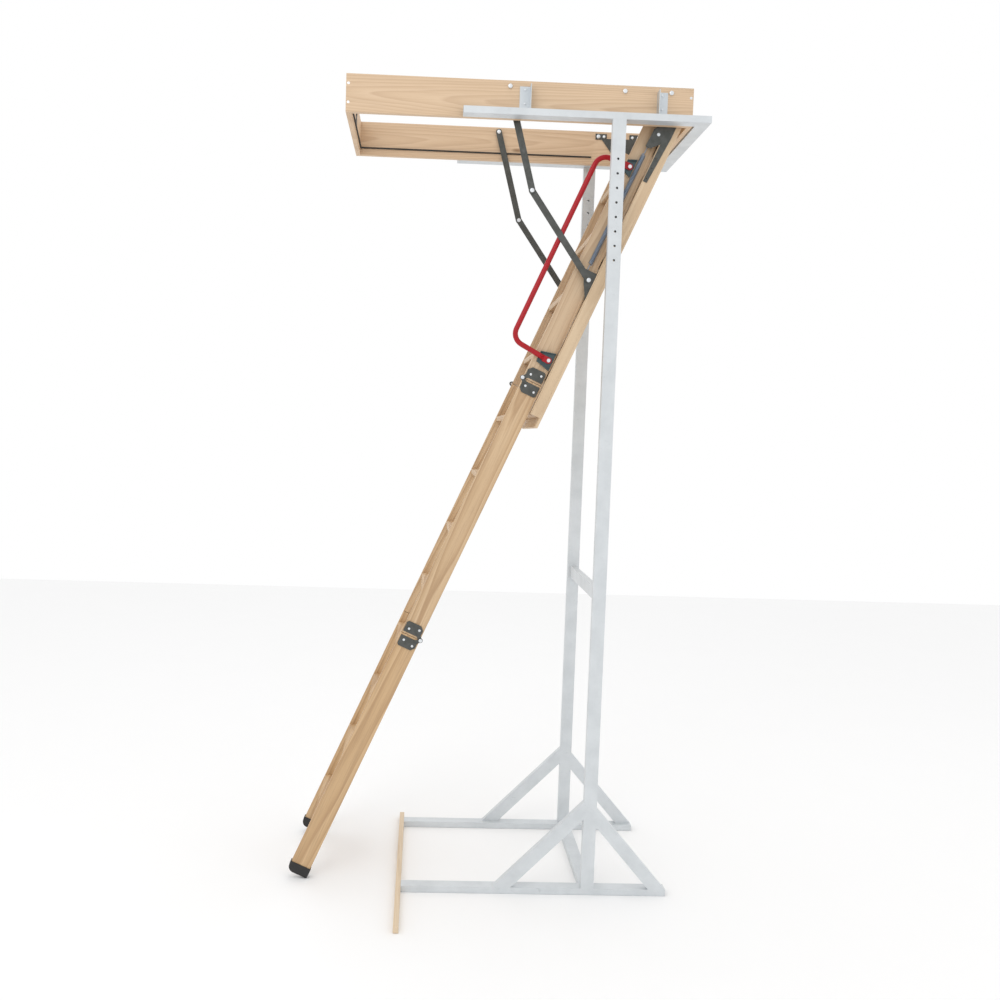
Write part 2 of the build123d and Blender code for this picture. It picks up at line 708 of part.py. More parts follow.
def stand_parts():
    in_y, out_y = box_width / 2, box_width / 2 + tube_wide
    head = tube_x(front + head_rail_front, front + head_rail_back, in_y, out_y,
                  box_underside, box_underside + tube_deep)
    back_x = front + head_rail_back
    base = tube_x(front + base_front, front + base_back, in_y, out_y, 0, tube_deep)
    half = tube_wide / 2
    post = tube_z(-half, half, out_y - tube_deep, out_y, tube_deep, box_underside)
    for step in range(post_holes):
        z = box_underside - post_hole_first - step * post_hole_pitch
        post -= rod(0, z, out_y - tube_deep - 1, out_y + 1, post_hole_radius)
    lath_x = front + base_front
    parts = {
        "head_rails": both_sides(head),
        "head_cross_tube": tube_y(back_x - tube_wide, back_x, -in_y, in_y,
                                  box_underside, box_underside + tube_deep),
        "post_near": mirror(post, about=Plane.XZ),
        "post_far": post,
        "mid_cross_tube": tube_y(-tube_deep / 2, tube_deep / 2, -out_y + tube_deep, out_y - tube_deep,
                                 mid_tube_z - half, mid_tube_z + half),
        "base_rails": both_sides(base),
        "base_cross_tube": tube_y(-half, half, -in_y, in_y, 0, tube_deep),
        "braces": group(both_sides(brace(-1, *front_brace)), both_sides(brace(1, *rear_brace))),
        "floor_lath": block(lath_x - lath_width, lath_x, -lath_near, lath_far, 0, lath_height),
        "angle_brackets": angle_brackets(),
        "angle_screws": angle_screws(),
    }
    return parts


def angle_brackets():
    solids = []
    z0 = box_underside + tube_deep
    face = box_width / 2
    for step, offset in enumerate(angle_front):
        x0, x1 = front + offset, front + offset + angle_leg
        body = block(x0, x1, face, face + angle_wall, z0, z0 + angle_height)
        web = x1 - angle_wall if step == 0 else x0
        body += block(web, web + angle_wall, face, face + angle_leg, z0, z0 + angle_height)
        for z in angle_screw_heights():
            body -= rod((x0 + x1) / 2, z, face - 1, face + angle_wall + 1, screw_shank)
        solids.append(both_sides(body))
    return group(*solids)


def angle_screw_heights():
    return [box_underside + tube_deep + 30, box_underside + tube_deep + angle_height - 12]


def angle_screws():
    face = box_width / 2
    solids = []
    for offset in angle_front:
        x = front + offset + angle_leg / 2
        for z in angle_screw_heights():
            screw = rod(x, z, face - screw_length, face + angle_wall, screw_shank)
            screw += rod(x, z, face + angle_wall, face + angle_wall + screw_head, screw_head_radius - 1)
            solids.append(both_sides(screw))
    return group(*solids)


def drill_for_angles(parts):
    face = box_width / 2
    holes = group(*[rod(front + offset + angle_leg / 2, z, face - screw_length, face + 1, screw_shank)
                    for offset in angle_front for z in angle_screw_heights()])
    parts["box_side_far"] = parts["box_side_far"] - holes
    parts["box_side_near"] = parts["box_side_near"] - mirror(holes, about=Plane.XZ)


# ---------------------------------------------------------------- assembly
def ladder_parts():
    ends = section_gap
    parts = section("upper", upper_top, upper_pivot - ends, first_tread_upper)
    parts |= section("middle", upper_pivot + ends, lower_pivot - ends,
                     upper_pivot + first_tread_middle)
    parts |= section("lower", lower_pivot + ends, lower_end, lower_pivot + first_tread_lower)
    feet_parts(parts)
    upper_joint, lower_joint = (upper_pivot, front_pivot), (lower_pivot, back_pivot)
    joint_sides = {"upper": [(upper_pivot, -1)], "middle": [(upper_pivot, 1), (lower_pivot, -1)],
                   "lower": [(lower_pivot, 1)]}
    for name, pivots in joint_sides.items():
        drill_stringers(parts, name, pivots)
        parts[name + "_plate_screws"] = plate_screws(pivots)
    parts["upper_hinge_plates"] = hinge_plate(upper_pivot, -1, front_pivot, False)
    parts["middle_hinge_plates"] = group(hinge_plate(upper_pivot, 1, front_pivot, True),
                                         hinge_plate(lower_pivot, -1, back_pivot, False))
    parts["lower_hinge_plates"] = hinge_plate(lower_pivot, 1, back_pivot, True)
    parts["upper_hinge_pins"] = hinge_pins(*upper_joint)
    parts["lower_hinge_pins"] = hinge_pins(*lower_joint)
    drill_for_handrail(parts)
    return parts


def hatch_parts():
    coil = spring()
    return leaf_parts() | arm_parts() | latch_parts() | {
        "striker_plate": striker_part(),
        "hinge_brackets": hinge_bracket(),
        "hinge_pins": hinge_pin(),
        "bracket_bolts": bracket_bolts(),
        "hinge_leaves": hinge_leaf(),
        "leaf_screws": leaf_screws(),
        "stringer_clamps": stringer_clamps(),
        "arm_ears": arm_ear(),
        "ear_pins": ear_pins(),
        "handrail": handrail(),
        "handrail_brackets": handrail_brackets(),
        "handrail_bolts": handrail_bolts(),
        "spring_near": on_leaf(coil),
        "spring_far": on_leaf(mirror(coil, about=Plane.XZ)),
    }


def main():
    os.makedirs("parts", exist_ok=True)
    parts = box_parts() | hatch_parts() | ladder_parts() | stand_parts()
    drill_for_angles(parts)
    for node, solid in parts.items():
        export_step(solid, "parts/" + node + ".step")


main()
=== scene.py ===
import bpy
import bmesh
import json
import math
import numpy as np
from mathutils import Matrix, Vector


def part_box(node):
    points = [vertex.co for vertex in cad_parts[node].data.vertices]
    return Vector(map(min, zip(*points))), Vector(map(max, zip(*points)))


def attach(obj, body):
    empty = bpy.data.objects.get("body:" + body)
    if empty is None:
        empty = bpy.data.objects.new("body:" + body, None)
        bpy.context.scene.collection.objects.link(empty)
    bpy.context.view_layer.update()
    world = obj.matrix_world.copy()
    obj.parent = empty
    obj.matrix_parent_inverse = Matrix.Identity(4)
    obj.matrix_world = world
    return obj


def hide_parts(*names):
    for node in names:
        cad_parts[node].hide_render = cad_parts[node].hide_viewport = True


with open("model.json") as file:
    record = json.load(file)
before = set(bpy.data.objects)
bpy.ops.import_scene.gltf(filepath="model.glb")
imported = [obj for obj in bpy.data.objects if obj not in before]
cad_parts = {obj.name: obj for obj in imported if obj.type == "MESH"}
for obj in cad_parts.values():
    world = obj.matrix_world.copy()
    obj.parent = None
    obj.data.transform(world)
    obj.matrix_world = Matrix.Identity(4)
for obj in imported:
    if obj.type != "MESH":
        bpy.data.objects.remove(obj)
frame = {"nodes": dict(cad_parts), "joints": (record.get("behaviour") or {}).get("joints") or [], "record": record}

scene = bpy.context.scene
nodes = frame["nodes"]
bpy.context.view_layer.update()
print("frame loaded:", len(nodes), "nodes")

mergeDistance = 1e-6     # metres, for joining loose triangles


def addNode(tree, kind, **values):
    node = tree.nodes.new(kind)
    for name, value in values.items():
        setattr(node, name, value)
    return node


def meshObject(name, mesh):
    piece = bpy.data.objects.new(name, mesh)
    scene.collection.objects.link(piece)
    return piece


def bodyOf(nodeName):
    for body, members in frame["record"]["behaviour"]["bodies"].items():
        if nodeName in members:
            return body


def meshFrom(work, name):
    mesh = bpy.data.meshes.new(name)
    work.to_mesh(mesh)
    work.free()
    return mesh


def ringOf(work, sides, level, radiusAt, phase=0.0):
    # one ring of points; radiusAt gives the radius at point k
    return [work.verts.new((radiusAt(k) * math.cos(math.tau * (k + phase) / sides),
                            radiusAt(k) * math.sin(math.tau * (k + phase) / sides), level))
            for k in range(sides)]


def closeRings(work, rings):
    # walls between the rings, and a lid at each end
    sides = len(rings[0])
    for lower, upper in zip(rings, rings[1:]):
        for k in range(sides):
            work.faces.new((lower[k], lower[(k + 1) % sides], upper[(k + 1) % sides], upper[k]))
    work.faces.new(list(reversed(rings[0])))
    work.faces.new(rings[-1])
    bmesh.ops.recalc_face_normals(work, faces=work.faces)


def islandsOf(nodeName):
    # the separate solids inside one CAD node, as arrays of points
    copy = bmesh.new()
    copy.from_mesh(nodes[nodeName].data)
    bmesh.ops.remove_doubles(copy, verts=copy.verts, dist=mergeDistance)
    left, found = set(copy.verts), []
    while left:
        stack, points = [left.pop()], []
        while stack:
            vert = stack.pop()
            points.append(tuple(vert.co))
            for edge in vert.link_edges:
                other = edge.other_vert(vert)
                if other in left:
                    left.remove(other)
                    stack.append(other)
        found.append(np.array(points))
    copy.free()
    return found


def newFinish(name, roughness, metallic=0.0):
    finish = bpy.data.materials.new(name)
    finish.use_nodes = True
    tree = finish.node_tree
    shader = tree.nodes["Principled BSDF"]
    shader.inputs["Roughness"].default_value = roughness
    shader.inputs["Metallic"].default_value = metallic
    return finish, tree, shader


def ramp(tree, source, stops):
    node = tree.nodes.new("ShaderNodeValToRGB")
    elements = node.color_ramp.elements
    while len(elements) < len(stops):
        elements.new(0.5)
    for element, (place, colour) in zip(elements, stops):
        element.position = place
        element.color = (*colour, 1)
    tree.links.new(source, node.inputs["Fac"])
    return node.outputs["Color"]


def mask(tree, source, low, high):
    # black below low and white above high
    return ramp(tree, source, [(low, (0, 0, 0)), (high, (1, 1, 1))])


def noise(tree, coords, scale, detail=4.0, roughness=0.5, distortion=0.0):
    node = tree.nodes.new("ShaderNodeTexNoise")
    node.inputs["Scale"].default_value = scale
    node.inputs["Detail"].default_value = detail
    node.inputs["Roughness"].default_value = roughness
    node.inputs["Distortion"].default_value = distortion
    tree.links.new(coords, node.inputs["Vector"])
    return node.outputs["Fac"]


def placed(tree, turn=(0, 0, 0), scale=(1, 1, 1), shift=(0, 0, 0)):
    # moves the origin to shift, turns, and then multiplies by scale
    coords = tree.nodes.new("ShaderNodeTexCoord")
    mapping = addNode(tree, "ShaderNodeMapping", vector_type="TEXTURE")
    mapping.inputs["Rotation"].default_value = turn
    mapping.inputs["Scale"].default_value = [1 / value for value in scale]
    mapping.inputs["Location"].default_value = shift
    tree.links.new(coords.outputs["Object"], mapping.inputs["Vector"])
    return mapping.outputs["Vector"]


def mixColour(tree, blend, amount, first, second):
    node = addNode(tree, "ShaderNodeMix", data_type="RGBA", blend_type=blend)
    if isinstance(amount, float):
        node.inputs[0].default_value = amount
    else:
        tree.links.new(amount, node.inputs[0])
    for socket, value in ((6, first), (7, second)):
        if isinstance(value, tuple):
            node.inputs[socket].default_value = (*value, 1)
        else:
            tree.links.new(value, node.inputs[socket])
    return node.outputs[2]


def times(tree, source, factor):
    node = addNode(tree, "ShaderNodeMath", operation="MULTIPLY")
    node.inputs[1].default_value = factor
    tree.links.new(source, node.inputs[0])
    return node.outputs[0]


def bump(tree, shader, height, strength, distance):
    node = tree.nodes.new("ShaderNodeBump")
    node.inputs["Strength"].default_value = strength
    node.inputs["Distance"].default_value = distance
    tree.links.new(height, node.inputs["Height"])
    tree.links.new(node.outputs["Normal"], shader.inputs["Normal"])


def spread(tree, source, low, high):
    node = tree.nodes.new("ShaderNodeMapRange")
    node.inputs["To Min"].default_value = low
    node.inputs["To Max"].default_value = high
    tree.links.new(source, node.inputs["Value"])
    return node.outputs["Result"]


woodSettings = {
    "pale": (0.66, 0.505, 0.345),
    "middle": (0.56, 0.405, 0.255),
    "dark": (0.40, 0.255, 0.145),
    "fibre": (0.31, 0.19, 0.11),
    "stretch": 0.10,         # how slowly the figure changes along the board
    "wander": 5.0,
    "knot": (0.22, 0.115, 0.05),
    "warm": (0.88, 0.78, 0.66),
    "fibreScale": (5, 240, 240),     # these three scales are along and across the grain
    "blotchScale": (1.2, 9, 9),
    "knotScale": (2.1, 6.5, 6.5),
    "fibreBand": (0.47, 0.74),       # where each mask fades from none to full
    "knotBand": (0.03, 0.075),
    "rough": (0.42, 0.66),
    "bump": (0.28, 0.0006),          # strength, and height in metres
    "streaks": 0.30,         # how strongly the fine fibres show
    "heart": (0.0, 0.055, 0.012),    # from the board's middle to the tree's heart
    "heartTilt": math.radians(2.4),
}


def woodFinish(name, turn, middle, seed, contrast, tint, rings):
    # the grain runs along X after the turn, with rings round a heart line beside the board;
    # rings of 46 are about 7 mm apart
    s = woodSettings
    finish, tree, shader = newFinish(name, 0.5)
    heart = [m + h * (1 if seed % 2 < 1 else -1) for m, h in zip(middle, s["heart"])]
    tilted = (turn[0], turn[1] + s["heartTilt"] * math.cos(seed), turn[2] + s["heartTilt"] * math.sin(seed))
    pale, mid, dark = (tuple(c * t for c, t in zip(s[key], tint)) for key in ("pale", "middle", "dark"))
    wave = addNode(tree, "ShaderNodeTexWave", wave_type="RINGS", rings_direction="X", wave_profile="SAW")
    wave.inputs["Scale"].default_value = rings
    wave.inputs["Distortion"].default_value = s["wander"]
    wave.inputs["Detail"].default_value = 2.0
    wave.inputs["Detail Scale"].default_value = 0.5
    wave.inputs["Phase Offset"].default_value = seed
    tree.links.new(placed(tree, tilted, (s["stretch"], 1, 1), heart), wave.inputs["Vector"])
    figure = ramp(tree, wave.outputs["Fac"], [(0.0, pale), (0.5, mid), (0.88, dark), (1.0, pale)])
    fine = noise(tree, placed(tree, turn, s["fibreScale"], (seed, 0, 0)), 1.0, 5.0, 0.65)
    streak = mask(tree, fine, *s["fibreBand"])
    blotch = noise(tree, placed(tree, turn, s["blotchScale"], (seed, seed, 0)), 1.0, 3.0)
    strength = spread(tree, blotch, min(0.6, 0.2 * contrast), min(1.0, 0.95 * contrast))
    plain = mixColour(tree, "MIX", strength, pale, figure)
    warm = mixColour(tree, "MULTIPLY", spread(tree, blotch, 0.35, 0.0), plain, s["warm"])
    grained = mixColour(tree, "MIX", times(tree, streak, s["streaks"] * contrast), warm, s["fibre"])
    # knots, long ovals along the grain
    cells = addNode(tree, "ShaderNodeTexVoronoi", feature="F1")
    cells.inputs["Scale"].default_value = 1.0
    knotPlace = placed(tree, turn, s["knotScale"], (seed * 3.1, seed, 1.7))
    tree.links.new(knotPlace, cells.inputs["Vector"])
    core, rim = s["knotBand"]
    knots = ramp(tree, cells.outputs["Distance"], [(core, (1, 1, 1)), (rim, (0, 0, 0))])
    tree.links.new(mixColour(tree, "MIX", knots, grained, s["knot"]), shader.inputs["Base Color"])
    tree.links.new(spread(tree, fine, *s["rough"]), shader.inputs["Roughness"])
    bump(tree, shader, fine, *s["bump"])
    return finish


metalSettings = {
    "dark_steel": dict(colour=(0.075, 0.078, 0.072), worn=(0.17, 0.175, 0.17), metallic=0.55,
                       rough=(0.38, 0.6), grain=420, wear=0.35),
    "teal_steel": dict(colour=(0.055, 0.085, 0.092), worn=(0.15, 0.18, 0.19), metallic=0.55,
                       rough=(0.34, 0.55), grain=420, wear=0.3),
    "zinc": dict(colour=(0.70, 0.73, 0.76), worn=(0.90, 0.91, 0.92), metallic=0.9,
                 rough=(0.22, 0.42), grain=700, wear=0.5),
    "spring_steel": dict(colour=(0.23, 0.29, 0.38), worn=(0.42, 0.48, 0.56), metallic=0.7,
                         rough=(0.24, 0.42), grain=600, wear=0.4),
    "galvanised": dict(colour=(0.56, 0.60, 0.63), worn=(0.74, 0.77, 0.79), metallic=0.7,
                       rough=(0.34, 0.55), grain=90, wear=0.6),
    "painted_tube": dict(colour=(0.65, 0.68, 0.70), worn=(0.44, 0.47, 0.49), metallic=0.3,
                         rough=(0.34, 0.55), grain=130, wear=0.3),
}
scuffSettings = {"turn": (0.4, 0.9, 0.3), "scale": (9, 160, 40), "amount": 0.35, "band": (0.63, 0.70)}
# cloud and fine are multiples of the metal's grain
wearSettings = {"band": (0.38, 0.68), "cloud": 0.09, "fine": 4, "bump": (0.12, 0.0003)}


def metalFinish(name):
    s = metalSettings[name]
    finish, tree, shader = newFinish(name, 0.4, s["metallic"])
    coords = placed(tree)
    cloud = noise(tree, coords, s["grain"] * wearSettings["cloud"], 5.0, 0.6)
    fine = noise(tree, coords, s["grain"] * wearSettings["fine"], 3.0, 0.6)
    patches = mask(tree, cloud, *wearSettings["band"])
    tone = mixColour(tree, "MIX", times(tree, patches, s["wear"]), s["colour"], s["worn"])
    scuffPlace = placed(tree, turn=scuffSettings["turn"], scale=scuffSettings["scale"])
    scuffs = noise(tree, scuffPlace, 1.0, 6.0, 0.7, 0.4)
    marks = mask(tree, scuffs, *scuffSettings["band"])
    marked = mixColour(tree, "MIX", times(tree, marks, scuffSettings["amount"]), tone, s["worn"])
    tree.links.new(marked, shader.inputs["Base Color"])
    tree.links.new(spread(tree, cloud, *s["rough"]), shader.inputs["Roughness"])
    bump(tree, shader, fine, *wearSettings["bump"])
    return finish


redSettings = {"colour": (0.42, 0.004, 0.012), "dull": (0.27, 0.004, 0.010),
               "coat": 0.1, "coatRoughness": 0.12, "shine": 0.3,
               "cloud": 26.0, "peel": 520.0, "rough": (0.22, 0.38), "bump": (0.08, 0.0004)}


def redPaint():
    s = redSettings
    finish, tree, shader = newFinish("red_paint", 0.3)
    cloud = noise(tree, placed(tree), s["cloud"], 5.0, 0.6)
    peel = noise(tree, placed(tree), s["peel"], 2.0)
    faded = mixColour(tree, "MIX", spread(tree, cloud, 0.0, 0.6), s["colour"], s["dull"])
    tree.links.new(faded, shader.inputs["Base Color"])
    tree.links.new(spread(tree, cloud, *s["rough"]), shader.inputs["Roughness"])
    shader.inputs["Coat Weight"].default_value = s["coat"]
    shader.inputs["Specular IOR Level"].default_value = s["shine"]
    shader.inputs["Coat Roughness"].default_value = s["coatRoughness"]
    bump(tree, shader, peel, *s["bump"])
    return finish


rubberSettings = {"colour": (0.012, 0.012, 0.013), "dust": (0.06, 0.058, 0.055), "grain": 900.0,
                  "cloud": 60.0, "rough": (0.6, 0.85), "bump": (0.25, 0.0003)}


def rubberFinish(name):
    s = rubberSettings
    finish, tree, shader = newFinish(name, 0.75)
    dust = noise(tree, placed(tree), s["cloud"], 5.0, 0.65)
    pores = noise(tree, placed(tree), s["grain"], 2.0)
    dusty = mixColour(tree, "MIX", spread(tree, dust, 0.0, 0.5), s["colour"], s["dust"])
    tree.links.new(dusty, shader.inputs["Base Color"])
    tree.links.new(spread(tree, dust, *s["rough"]), shader.inputs["Roughness"])
    bump(tree, shader, pores, *s["bump"])
    return finish


leafTilt = math.radians(66.3)     # the open leaf leans this far from level
alongX, alongY, alongLeaf = (0, 0, 0), (0, 0, math.pi / 2), (0, -leafTilt, 0)

woodNodes = {
    "box_side_near": (alongX, 1.0), "box_side_far": (alongX, 2.3),
    "box_end_front": (alongY, 3.1), "box_end_hinge": (alongY, 4.7),
    "hatch_stiles": (alongLeaf, 5.2), "hatch_cross_rails": (alongY, 6.4), "floor_lath": (alongY, 7.9),
    "upper_stringer_near": (alongLeaf, 8.6), "upper_stringer_far": (alongLeaf, 9.5),
    "middle_stringer_near": (alongLeaf, 10.2), "middle_stringer_far": (alongLeaf, 11.7),
    "lower_stringer_near": (alongLeaf, 12.4), "lower_stringer_far": (alongLeaf, 13.8),
    "upper_treads": (alongY, 14.6), "middle_treads": (alongY, 15.1), "lower_treads": (alongY, 16.9),
    "hatch_cover_board": (alongLeaf, 17.3), "hatch_lining": (alongLeaf, 18.8),
}
# how strong the figure shows, how light the wood is, and how close its rings are
grainStrength = {
    "hatch": dict(contrast=0.5, tint=(1.02, 1.03, 1.02), rings=46),
    "box": dict(contrast=0.62, tint=(1.06, 1.04, 1.04), rings=44),
    "upper": dict(contrast=0.9, tint=(0.95, 0.94, 0.93), rings=44),
    "middle": dict(contrast=1.5, tint=(0.98, 0.93, 0.84), rings=32),
    "lower": dict(contrast=1.7, tint=(0.96, 0.88, 0.74), rings=26),
    "floor": dict(contrast=0.4, tint=(1.12, 1.2, 1.28), rings=60),
}
slotOf = {part["node"]: part["material_slot"] for part in frame["record"]["subparts"]}
finishes = {name: metalFinish(name) for name in metalSettings}
finishes["red_paint"] = redPaint()
for name in ("seal_rubber", "black_rubber"):
    finishes[name] = rubberFinish(name)
for nodeName, piece in nodes.items():
    if nodeName in woodNodes:
        turn, seed = woodNodes[nodeName]
        low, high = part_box(nodeName)
        strength = grainStrength[nodeName.split("_")[0]]
        finish = woodFinish("wood_" + nodeName, turn, (low + high) / 2, seed, **strength)
    else:
        finish = finishes[slotOf[nodeName]]
    piece.data.materials.clear()
    piece.data.materials.append(finish)
print("finishes made:", len(bpy.data.materials))


# boards are shown as copies with softened edges
softEdges = {
    "width": {"stringer": 0.0025, "treads": 0.0022, "box": 0.0015, "hatch": 0.0012, "floor": 0.001},
    "segments": 3,
    "angle": math.radians(35),       # edges sharper than this are rounded
    "flat": math.radians(0.5),       # triangles flatter than this are one face
}


def softenBoard(nodeName, width):
    mesh = nodes[nodeName].data.copy()
    work = bmesh.new()
    work.from_mesh(mesh)
    bmesh.ops.remove_doubles(work, verts=work.verts, dist=mergeDistance)
    bmesh.ops.dissolve_limit(work, angle_limit=softEdges["flat"], verts=work.verts, edges=work.edges)
    bmesh.ops.recalc_face_normals(work, faces=work.faces)
    for face in work.faces:
        face.smooth = True
    work.to_mesh(mesh)
    work.free()
    piece = meshObject(nodeName + "_planed", mesh)
    bevel = piece.modifiers.new("edges", "BEVEL")
    bevel.width, bevel.segments = width, softEdges["segments"]
    bevel.limit_method, bevel.angle_limit = "ANGLE", softEdges["angle"]
    bevel.harden_normals = True
    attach(piece, bodyOf(nodeName))
    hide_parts(nodeName)


for nodeName in woodNodes:
    widths = [width for key, width in softEdges["width"].items() if key in nodeName]
    softenBoard(nodeName, widths[0])
print("boards softened:", len(woodNodes))


headSettings = {
    "screw": {"height": 0.0024, "recess": 0.0011},
    "rivet": {"height": 0.0030, "recess": 0.0},
    "flush": {"height": 0.0007, "recess": 0.0004},
}
headShape = {
    "sides": 24,
    "unit": 0.001,           # heads are made 1 mm in radius and sized by the tree
    # shares of the radius and of the height, from the foot up
    "dome": ((1.0, 0.0), (1.0, 0.35), (0.93, 0.62), (0.78, 0.85), (0.58, 0.97)),
    "slotReach": 0.46, "slotInner": 0.15, "flatTop": 0.3,
    "faceDepth": 0.0003,     # points this close to the end belong to the end face
}


def headMesh(name):
    # a domed head standing on the XY plane, with a cross recess where it has one
    s, shape = headSettings[name], headShape
    sides, unit, high = shape["sides"], shape["unit"], s["height"]
    work = bmesh.new()
    rings = [ringOf(work, sides, level * high, lambda k: share * unit) for share, level in shape["dome"]]
    if s["recess"]:
        for level in (high, high - s["recess"]):
            rings.append(ringOf(work, sides, level, lambda k: unit * (
                shape["slotReach"] if k % 6 in (0, 1) else shape["slotInner"]), phase=-0.5))
    else:
        rings.append(ringOf(work, sides, high, lambda k: shape["flatTop"] * unit))
    closeRings(work, rings)
    return meshFrom(work, name + "Head")


def headTree(name):
    # puts one head on each point, turned to the side it faces and sized by its attributes
    tree = bpy.data.node_groups.new(name, "GeometryNodeTree")
    face = tree.interface
    face.new_socket("Geometry", in_out="INPUT", socket_type="NodeSocketGeometry")
    kinds = {"Head": "NodeSocketObject", "Size": "NodeSocketFloat", "Turn seed": "NodeSocketInt",
             "Finish": "NodeSocketMaterial"}
    sockets = {label: face.new_socket(label, in_out="INPUT", socket_type=kind).identifier
               for label, kind in kinds.items()}
    face.new_socket("Geometry", in_out="OUTPUT", socket_type="NodeSocketGeometry")
    start, end = tree.nodes.new("NodeGroupInput"), tree.nodes.new("NodeGroupOutput")
    info = tree.nodes.new("GeometryNodeObjectInfo")
    onPoints = tree.nodes.new("GeometryNodeInstanceOnPoints")
    sideValue = addNode(tree, "GeometryNodeInputNamedAttribute", data_type="FLOAT_VECTOR")
    sideValue.inputs["Name"].default_value = "facing"
    radiusValue = addNode(tree, "GeometryNodeInputNamedAttribute", data_type="FLOAT")
    radiusValue.inputs["Name"].default_value = "headRadius"
    align = addNode(tree, "FunctionNodeAlignRotationToVector", axis="Z")
    spin = tree.nodes.new("FunctionNodeRotateRotation")
    spin.rotation_space = "LOCAL"
    angle = addNode(tree, "FunctionNodeRandomValue", data_type="FLOAT")
    angle.inputs[2].default_value, angle.inputs[3].default_value = 0.0, math.tau
    turnVector = tree.nodes.new("ShaderNodeCombineXYZ")
    toTurn = tree.nodes.new("FunctionNodeEulerToRotation")
    sizeVector = tree.nodes.new("ShaderNodeCombineXYZ")
    realize = tree.nodes.new("GeometryNodeRealizeInstances")
    paint = tree.nodes.new("GeometryNodeSetMaterial")
    sized = addNode(tree, "ShaderNodeMath", operation="MULTIPLY")
    links = (
        (start.outputs["Geometry"], onPoints.inputs["Points"]),
        (start.outputs["Head"], info.inputs["Object"]),
        (info.outputs["Geometry"], onPoints.inputs["Instance"]),
        (sideValue.outputs[0], align.inputs["Vector"]), (align.outputs[0], spin.inputs["Rotation"]),
        (start.outputs["Turn seed"], angle.inputs["Seed"]), (angle.outputs[1], turnVector.inputs["Z"]),
        (turnVector.outputs[0], toTurn.inputs[0]), (toTurn.outputs[0], spin.inputs["Rotate By"]),
        (spin.outputs[0], onPoints.inputs["Rotation"]),
        (radiusValue.outputs[0], sized.inputs[0]), (start.outputs["Size"], sized.inputs[1]),
        (sized.outputs[0], sizeVector.inputs["X"]), (sized.outputs[0], sizeVector.inputs["Y"]),
        (sizeVector.outputs[0], onPoints.inputs["Scale"]),
        (onPoints.outputs[0], realize.inputs[0]), (realize.outputs[0], paint.inputs["Geometry"]),
        (start.outputs["Finish"], paint.inputs["Material"]), (paint.outputs[0], end.inputs[0]),
    )
    for source, target in links:
        tree.links.new(source, target)
    sizeVector.inputs["Z"].default_value = 1.0
    return tree, sockets


def plainMesh(holder, name):
    # the modifier's result as a mesh of its own, and the holder is thrown away
    bpy.context.view_layer.update()
    shown = holder.evaluated_get(bpy.context.evaluated_depsgraph_get())
    mesh = bpy.data.meshes.new_from_object(shown)
    holder.modifiers.clear()
    bpy.data.objects.remove(holder)
    return meshObject(name, mesh)


def headSpots(nodeName, least, sunk):
    # the end faces of each solid that are wider than a shank: point, side, radius in mm
    spots = []
    for points in islandsOf(nodeName):
        middle = (points.min(0) + points.max(0)) / 2
        for side in (-1, 1):
            edge = points[:, 1].min() if side < 0 else points[:, 1].max()
            rim = points[np.abs(points[:, 1] - edge) < headShape["faceDepth"]]
            radius = np.hypot(rim[:, 0] - middle[0], rim[:, 2] - middle[2]).max() * 1000
            if radius > least:
                spots.append(((middle[0], edge - side * sunk, middle[2]), side, radius))
    return spots


def addHeads(name, head, nodeNames, finish, least, sunk, size, seed, replaced):
    tree, sockets = headTree("heads_" + name)
    groups = {}
    for nodeName in nodeNames:
        groups.setdefault(bodyOf(nodeName), []).append(nodeName)
    for body, members in groups.items():
        spots = [spot for member in members for spot in headSpots(member, least, sunk)]
        points = bpy.data.meshes.new("points")
        points.from_pydata([spot[0] for spot in spots], [], [])
        facing = points.attributes.new("facing", "FLOAT_VECTOR", "POINT")
        sides = [value for spot in spots for value in (0.0, float(spot[1]), 0.0)]
        facing.data.foreach_set("vector", sides)
        radii = points.attributes.new("headRadius", "FLOAT", "POINT")
        radii.data.foreach_set("value", [float(spot[2]) for spot in spots])
        holder = meshObject("holder", points)
        modifier = holder.modifiers.new("heads", "NODES")
        modifier.node_group = tree
        for label, value in (("Head", head), ("Size", size), ("Turn seed", seed), ("Finish", finish)):
            modifier[sockets[label]] = value
        piece = plainMesh(holder, name + "_" + body)
        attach(piece, body)
        if replaced:
            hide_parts(*members)
        print(name, "on", body + ":", len(spots))


headObjects = {name: meshObject("head_" + name, headMesh(name)) for name in headSettings}
bpy.context.view_layer.update()
# an end face counts as a head above least mm in radius, and the head's foot is sunk below that face
addHeads("plate_screws", headObjects["screw"],
         ["leaf_screws", "upper_plate_screws", "middle_plate_screws", "lower_plate_screws", "angle_screws"],
         finishes["zinc"], least=3.0, sunk=0.0019, size=1.0, seed=3, replaced=True)
addHeads("rivet_caps", headObjects["rivet"],
         ["upper_hinge_pins", "lower_hinge_pins", "knee_rivets_outer", "ear_pins", "arm_pivot_bolts",
          "bracket_bolts"],
         finishes["zinc"], least=4.6, sunk=0.0016, size=1.03, seed=5, replaced=False)
addHeads("flush_screws", headObjects["flush"], ["box_screws"],
         finishes["zinc"], least=2.5, sunk=0.0004, size=1.0, seed=7, replaced=False)
for head in headObjects.values():
    bpy.data.objects.remove(head)


# pale caps on the leaf plates, and the lock's round face on the front end board
capSettings = {"radius": 0.0062, "height": 0.00035, "sunk": 0.0001, "sides": 32,
               "offset": (-0.0636, -0.0453)}     # along X and Z from the hatch hinge
lockSettings = {"radius": 0.0085, "height": 0.004, "sunk": 0.0002, "sides": 36, "drop": 0.052}
discRim = ((1, 0), (1, 0.75), (0.96, 0.97), (0.9, 1))     # shares of the radius and of the height


